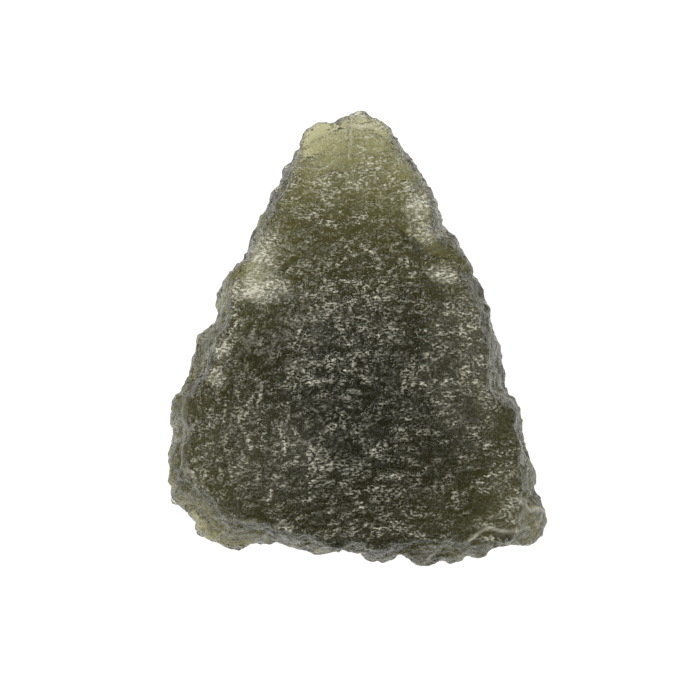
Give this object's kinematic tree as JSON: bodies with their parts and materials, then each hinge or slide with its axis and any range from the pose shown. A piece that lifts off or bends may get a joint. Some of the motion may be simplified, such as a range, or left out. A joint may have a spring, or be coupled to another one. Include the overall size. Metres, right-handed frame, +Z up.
{
  "type": "moldavite",
  "caption": "Wedge-shaped piece of olive-green natural glass with an etched, wrinkled skin and chipped flanks, lying on a small flat spot on its belly.",
  "frame": {"origin": "centre of the bounding box in plan, on the plane that the stone rests on", "axes": "+X across the stone, +Y from its thick base to its thin tip, +Z up through its broad faces"},
  "size_m": [0.025, 0.03, 0.0089],
  "materials": {
    "moldavite_glass": "etched natural glass, satin skin with small bright glints, see-through where it is thin"
  },
  "bodies": {
    "root": {"moldavite": "moldavite_glass"}
  },
  "joints": []
}
